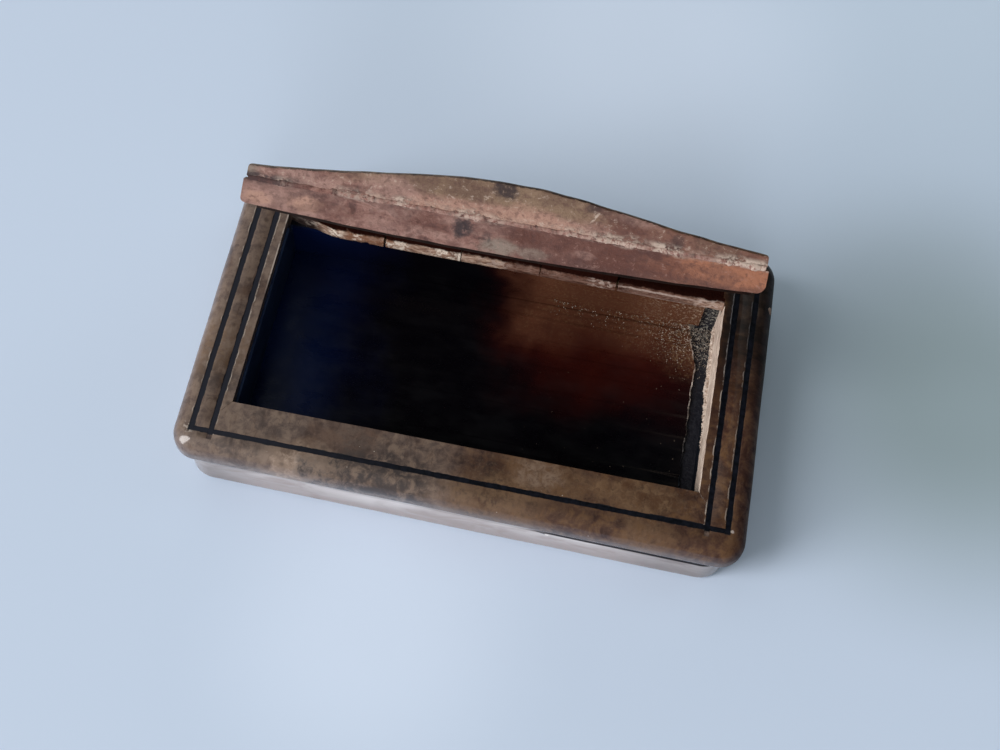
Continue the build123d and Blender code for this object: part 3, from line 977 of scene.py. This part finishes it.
for nodeName, pieceName, outside in (("top_frame", "rim", rimWood), ("body_block", "body", bodyWood)):
    bm = copyOfNode(nodeName)
    facesInside(bm)
    sliceUp(bm, alongX, rimValues["slice"])
    sliceUp(bm, alongY, rimValues["slice"])
    waver(bm, rimValues["waver"], rimValues["waverSize"])
    woods = [outside, wallWood, shadedLedgeWood]
    makePiece(bm, pieceName, "box", woods, [nodeName], rimValues["arris"])

# Lippings: the right one's inner arris is broken away
lippingValues = {
    "brokenSlice": 0.5 * mm,
    "bite": 0.22 * mm,
    "biteSize": 2.2 * mm,
    "nibbleSize": 0.7 * mm,
    "bare": 0.2 * mm,
    "arris": 0.05 * mm,
}
for nodeName in ("front_lipping", "left_lipping", "right_lipping"):
    bm = copyOfNode(nodeName)
    broken = nodeName == "right_lipping"
    for face in bm.faces:
        if broken and face.normal.x < -0.9:
            face.material_index = 1
    sliceUp(bm, alongX, rimValues["slice"])
    sliceUp(bm, alongY, lippingValues["brokenSlice"] if broken else rimValues["slice"])
    if broken:
        for v in bm.verts:
            if abs(v.co.x - openX) < touching and v.co.z > topZ - touching:
                bite = 0.5 + 0.5 * noise.noise(v.co / lippingValues["biteSize"])
                bite += 0.3 * noise.noise(v.co / lippingValues["nibbleSize"])
                v.co.x += lippingValues["bite"] * max(bite, 0.1)
        for face in bm.faces:
            if face.calc_center_median().x < openX + lippingValues["bare"]:
                face.material_index = 1
    waver(bm, rimValues["waver"], rimValues["waverSize"])
    pieceName = nodeName.replace("_l", "L")
    makePiece(bm, pieceName, "box", [rimWood, wallWood], [nodeName], lippingValues["arris"])
print("rim, body and lippings made")

# Stringing: strips of uneven width, a little below the polish
stringValues = {"sunk": 0.05 * mm, "slice": 1.2 * mm, "arris": 0.03 * mm}
stringNodes = [n for n in sorted(frame["nodes"]) if n.startswith("stringing")]
for nodeName in stringNodes:
    bm = copyOfNode(nodeName)
    low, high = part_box(nodeName)
    lengthwise = high.y - low.y > high.x - low.x
    sliceUp(bm, alongY if lengthwise else alongX, stringValues["slice"])
    for v in bm.verts:
        v.co.z -= stringValues["sunk"]
    waver(bm, rimValues["waver"], rimValues["waverSize"])
    first, *others = nodeName.split("_")
    pieceName = first + "".join(word.title() for word in others)
    makePiece(bm, pieceName, "box", [blackWood], [nodeName], stringValues["arris"])
print("stringing made")

# Hinge rail: the fronts of its knuckles are rough and chipped
railValues = {
    "slice": 0.45 * mm,
    "layer": 0.6 * mm,
    "roughDepth": 1.1 * mm,
    "endGap": 0.05 * mm,
    "inRim": 0.1 * mm,
    "chip": 0.3 * mm,
    "chipSize": 0.9 * mm,
    "splinterSize": 0.4 * mm,
    "roughTo": -6 * mm,  # left of here the fronts are rougher
    "arris": 0.06 * mm,
}
bm = copyOfNode("hinge_rail")
sliceUp(bm, alongX, railValues["slice"])
sliceUp(bm, alongZ, railValues["layer"])
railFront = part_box("left_lipping")[1].y
for v in bm.verts:
    if v.co.y < railFront + railValues["roughDepth"] and abs(v.co.x) < openX - railValues["endGap"]:
        rough = noise.noise(v.co / railValues["chipSize"])
        rough += 0.6 * noise.noise(v.co / railValues["splinterSize"])
        v.co.y += railValues["chip"] * max(rough, 0) * (1 if v.co.x < railValues["roughTo"] else 0.45)
for face in bm.faces:
    if abs(face.calc_center_median().x) > openX - railValues["inRim"]:
        face.material_index = 1
makePiece(bm, "hingeRail", "box", [hingeWood, rimWood], ["hinge_rail"], railValues["arris"])

# Lid: both boards waver a little together; knuckles keep their shape
lidValues = {
    "slice": 1 * mm,
    "waver": 0.11 * mm,
    "waverSize": 3.5 * mm,
    "waverFrom": 3 * mm,
    "waverOver": 6 * mm,
    "arris": 0.14 * mm,
    "pinHole": 1 * mm,
    "knuckle": 2.2 * mm,
    "bareKnuckle": 2.6 * mm,
    "worn": 0.2 * mm,
}
toClosed = Matrix.Rotation(math.radians(lidAngle), 3, "X")
toOpen = Matrix.Rotation(math.radians(-lidAngle), 3, "X")


def fromHinge(place):  # distance from the hinge's axis
    return (place - Vector((place.x, hingeAxis.y, hingeAxis.z))).length


for nodeName, pieceName, wood in (("lid_board", "lidBoard", boardWood), ("lid_crown", "lidCrown", crownWood)):
    bm = copyOfNode(nodeName)
    for face in bm.faces:
        middle = face.calc_center_median()
        facing = toClosed @ face.normal
        if fromHinge(middle) < lidValues["bareKnuckle"] and (toClosed @ (middle - hingeAxis)).y > -3 * mm:
            face.material_index = 1
        elif facing.z > 0.5 or facing.y > 0.7:
            face.material_index = 2
    sliceUp(bm, alongX, lidValues["slice"])
    if nodeName == "lid_board":  # the outermost ends of the moving knuckles are worn short
        ends = sorted({round(v.co.x, 6) for v in bm.verts if fromHinge(v.co) < lidValues["pinHole"]})
        for v in bm.verts:
            for place, push in ((ends[0], lidValues["worn"]), (ends[-1], -lidValues["worn"])):
                if abs(v.co.x - place) < touching and fromHinge(v.co) < lidValues["knuckle"]:
                    v.co.x += push
    for v in bm.verts:
        away = min(max((fromHinge(v.co) - lidValues["waverFrom"]) / lidValues["waverOver"], 0), 1)
        v.co += noise.noise_vector(v.co / lidValues["waverSize"]) * lidValues["waver"] * away
    makePiece(bm, pieceName, "lid", [wood, hingeWood, lidTopWood], [nodeName], lidValues["arris"])
print("hinge and lid made")

# Crumbs: a broken ridge along the joint of the lid's boards
crumbValues = {
    "from": -32.6 * mm,
    "to": 34.2 * mm,
    "step": 0.2 * mm,
    "sides": 9,
    "least": 0.64,
    "thick": 0.5 * mm,
    "flat": 0.42,
    "sunk": 0.04,
    "shift": 0.12 * mm,
    "lumpSize": 1.6 * mm,
    "crumbSize": 0.35 * mm,
    "roughSize": 0.25 * mm,
    "shiftSize": 2 * mm,
}


def onLid(x, y, z):  # a place on the shut lid, from the hinge axis, carried to the open lid
    askew = Matrix.Rotation(math.radians(-lidEdge["skew"]), 3, "Y") @ Vector((x, y, z))
    return toOpen @ askew + Vector((0, hingeAxis.y, hingeAxis.z))


bm = bmesh.new()
ridgeMiddle = Matrix.Translation(((crumbValues["from"] + crumbValues["to"]) / 2, 0, 0))
ridgeTurn = Matrix.Rotation(math.pi / 2, 4, "Y")
bmesh.ops.create_cone(bm, cap_ends=True, segments=crumbValues["sides"], radius1=mm, radius2=mm,
                      depth=crumbValues["to"] - crumbValues["from"], matrix=ridgeMiddle @ ridgeTurn)
sliceUp(bm, alongX, crumbValues["step"])
for v in bm.verts:
    x, turn = v.co.x, math.atan2(v.co.z, -v.co.y)
    lump = 0.35 + 1.3 * noise.noise(Vector((x / crumbValues["lumpSize"], 3, 1)))
    lump += 0.7 * noise.noise(Vector((x / crumbValues["crumbSize"], 0, 5)))
    radius = crumbValues["thick"] * min(max(lump, crumbValues["least"]), 1)
    radius *= 1 + 0.35 * noise.noise(Vector((x / crumbValues["roughSize"], turn * 2.7, 2)))
    shift = crumbValues["shift"] * noise.noise(Vector((x / crumbValues["shiftSize"], 8, 8)))
    front = (lidEdge["depth"] - crumbValues["sunk"]) * mm + math.cos(turn) * radius * crumbValues["flat"]
    v.co = onLid(x, -front, lidEdge["joint"] * mm + shift + math.sin(turn) * radius)
makePiece(bm, "jointCrumbs", "lid", [jointStuff], [], angle=60)

# Grains of dirt lying in the back right corner of the well
grainValues = {
    "count": 1100,
    "seed": 5,
    "least": 0.02 * mm,
    "most": 0.085 * mm,
    "fromWall": (1.8, 2.8),
    "fromBack": (0, 3.6),
    "rowFromBack": (0, 1.5),
    "row": (8, 31),
    "off": (0.3, 0.6),
    "tear": 1.2 * mm,
    "rough": 0.6,
}


def addLump(bm, place, size, i, rough):  # a small ball made uneven, each one differently
    made = bmesh.ops.create_icosphere(bm, subdivisions=1, radius=size, matrix=Matrix.Translation(place))
    for v in made["verts"]:
        v.co += noise.noise_vector(v.co / size + Vector((i, 0, 0))) * size * rough


bm = bmesh.new()
chance = random.Random(grainValues["seed"])
offWall, offBack = grainValues["off"]
for i in range(grainValues["count"]):
    if i % 5:  # around the corner, thick in the gap beside the torn edge
        fromWall = abs(chance.gauss(*grainValues["fromWall"]))
        fromBack = abs(chance.gauss(*grainValues["fromBack"]))
        place = Vector((openX - (fromWall + offWall) * mm, openY - (fromBack + offBack) * mm, 0))
    else:  # along the back wall
        fromBack = abs(chance.gauss(*grainValues["rowFromBack"]))
        place = Vector((chance.uniform(*grainValues["row"]) * mm, openY - (fromBack + offBack) * mm, 0))
    size = chance.uniform(grainValues["least"], grainValues["most"])
    place.z = (floorHigh.z if place.x < floorHigh.x - grainValues["tear"] else floorLow.z) + size * 0.4
    if place.y > -openY + mm:
        addLump(bm, place, size, i, grainValues["rough"])
makePiece(bm, "dirtGrains", "box", [crumbStuff], [])

# Crust: dry glue and splinters heaped on the right wall where its dark foot begins
crustValues = {
    "count": 460,
    "seed": 8,
    "least": 0.1 * mm,
    "most": 0.36 * mm,
    "gather": 0.6,
    "thickAt": 0.52,
    "thickOver": 0.16,
    "high": 6.3,
    "drop": 3.2,
    "spread": 0.5,
    "front": -7,
    "long": 22,
    "rough": 0.5,
}
bm = bmesh.new()
chance = random.Random(crustValues["seed"])
for i in range(crustValues["count"]):
    back = chance.random() ** crustValues["gather"]  # 0 at the crust's front end, 1 in the corner
    size = chance.uniform(crustValues["least"], crustValues["most"]) * (0.4 + 0.6 * back)
    size *= 1 + 0.8 * math.exp(-((back - crustValues["thickAt"]) / crustValues["thickOver"]) ** 2)
    height = crustValues["high"] - crustValues["drop"] * back + chance.gauss(0, crustValues["spread"])
    along = crustValues["long"] * back + crustValues["front"]
    addLump(bm, Vector((openX - size * 0.2, along * mm, height * mm)), size, i, crustValues["rough"])
makePiece(bm, "wallCrust", "box", [crustStuff], [], angle=50)
print("crumbs, grains and crust made")

# Floor lining: the same sheet with a ragged torn edge
tornValues = {
    "slice": 0.35 * mm,
    "zone": 1.4 * mm,
    "ends": 0.1 * mm,
    "rag": 0.22 * mm,
    "ragSize": 1.6 * mm,
    "fraySize": 0.35 * mm,
    "back": 0.1 * mm,
    "front": 0.55 * mm,
    "slope": 0.11,
    "from": -2 * mm,
    "tongue": 0.55 * mm,
    "tongueY": 8.5 * mm,
    "tongueWide": 2.5 * mm,
    "layBack": 0.2 * mm,  # of the tear's top, so that its raw edge shows
}
bm = copyOfNode("lining_floor")
sliceUp(bm, alongY, tornValues["slice"])
for v in bm.verts:
    if v.co.x > floorHigh.x - tornValues["zone"] and abs(v.co.y) < openY - tornValues["ends"]:
        rag = noise.noise(v.co / tornValues["ragSize"]) + 0.5 * noise.noise(v.co / tornValues["fraySize"])
        v.co.x += tornValues["rag"] * rag - tornValues["back"]
        v.co.x += tornValues["front"] - tornValues["slope"] * max(v.co.y - tornValues["from"], 0)
        tongue = (v.co.y - tornValues["tongueY"]) / tornValues["tongueWide"]
        v.co.x += tornValues["tongue"] * math.exp(-(tongue ** 2))
        if v.co.z > floorHigh.z - touching:
            v.co.x -= tornValues["layBack"]
for face in bm.faces:
    if face.calc_center_median().x > floorHigh.x - tornValues["zone"] and face.normal.x > 0.2:
        face.material_index = 1
sheets = [floorSheet, tornSheet]
makePiece(bm, "floorLining", "box", sheets, ["lining_floor"], angle=40)

for nodeName, material in (
    ("hinge_pin", brassWire), ("pin_plug", hingeWood), ("lining_left", leftSheet),
    ("lining_front", wallSheet), ("lining_back", floorSheet), ("lid_lining", lidSheet),
):
    data = frame["nodes"][nodeName].data
    data.materials.clear()
    data.materials.append(material)
print("lining dressed")

# Floor and light
stageValues = {
    "floor": (0.62, 0.72, 0.885),
    "far": (0.6, 0.71, 0.86),
    "dim": (0.325, 0.405, 0.445),
    "bright": (0.72, 0.82, 0.99),
    # painted shadow off the box's right side, painted light in front of it and behind: middle, reach, shade
    # and strength
    "patches": (
        ((74, 13, 0), 47, "dim", 1), ((-8, -42, 0), 30, "bright", 0.9), ((14, 72, 0), 46, "bright", 0.8),
    ),
    "lampShape": (0.65, 2.2),
    "aim": (0, 0, 0.01),
    "key": {"place": (-1.9, -1.12, 1.04), "size": 1.6, "power": 76, "colour": (1, 0.98, 0.98)},
    "front": {"place": (0.1, -1.2, 0.42), "size": 0.7, "power": 5, "colour": (0.98, 0.98, 1)},
    "fill": {"place": (1.3, 0.9, 1.5), "size": 1.4, "power": 4, "colour": (0.98, 1, 1)},
    "skyBright": (0.47, 0.5, 0.485),
    "skyDark": (0.07, 0.085, 0.08),
}


def floorMaterial():
    material, shader, coords = newMaterial("paleTable")
    x, y, z = axesOf(coords)
    # painted shade: the floor a little darker towards the back right, where the light falls off
    slope = plus(times(x, 0.7), y)
    colour = mixOf(between(slope, 0, 130), stageValues["floor"], stageValues["far"])
    for place, reach, shade, strength in stageValues["patches"]:
        patch = between(reachOf(coords, place), reach, reach * 0.15, 0, strength)
        colour = mixOf(patch, colour, stageValues[shade])
    feed(shader, {"Base Color": colour, "Roughness": 0.6, "Specular IOR Level": 0.2})
    return material


bm = bmesh.new()
bmesh.ops.create_grid(bm, x_segments=1, y_segments=1, size=4)
table, tableMesh = addToScene(bm, "table")
tableMesh.materials.append(floorMaterial())

for name in ("key", "front", "fill"):
    values = stageValues[name]
    lamp = bpy.data.lights.new(name, "AREA")
    lamp.energy = values["power"]
    lamp.shape = "ELLIPSE"
    lamp.size, lamp.size_y = [values["size"] * share for share in stageValues["lampShape"]]
    lamp.color = values["colour"]
    holder = bpy.data.objects.new(name, lamp)
    bpy.context.scene.collection.objects.link(holder)
    holder.location = values["place"]
    direction = Vector(stageValues["aim"]) - Vector(values["place"])
    holder.rotation_euler = direction.to_track_quat("-Z", "Y").to_euler()
    holder.visible_glossy = name == "key"  # only the key shows in the polish

# Soft sky: bright on the left, dim on the right
world = bpy.data.worlds.new("sky")
bpy.context.scene.world = world
world.use_nodes = True
sky = world.node_tree.nodes["Background"]
skyX = axesOf(addNode(sky, "ShaderNodeTexCoord").outputs["Generated"])[0]
feed(sky, {"Color": mixOf(between(skyX, -0.3, 0.16), stageValues["skyBright"], stageValues["skyDark"])})
bpy.context.scene.view_settings.view_transform = "Standard"
print("stage ready")
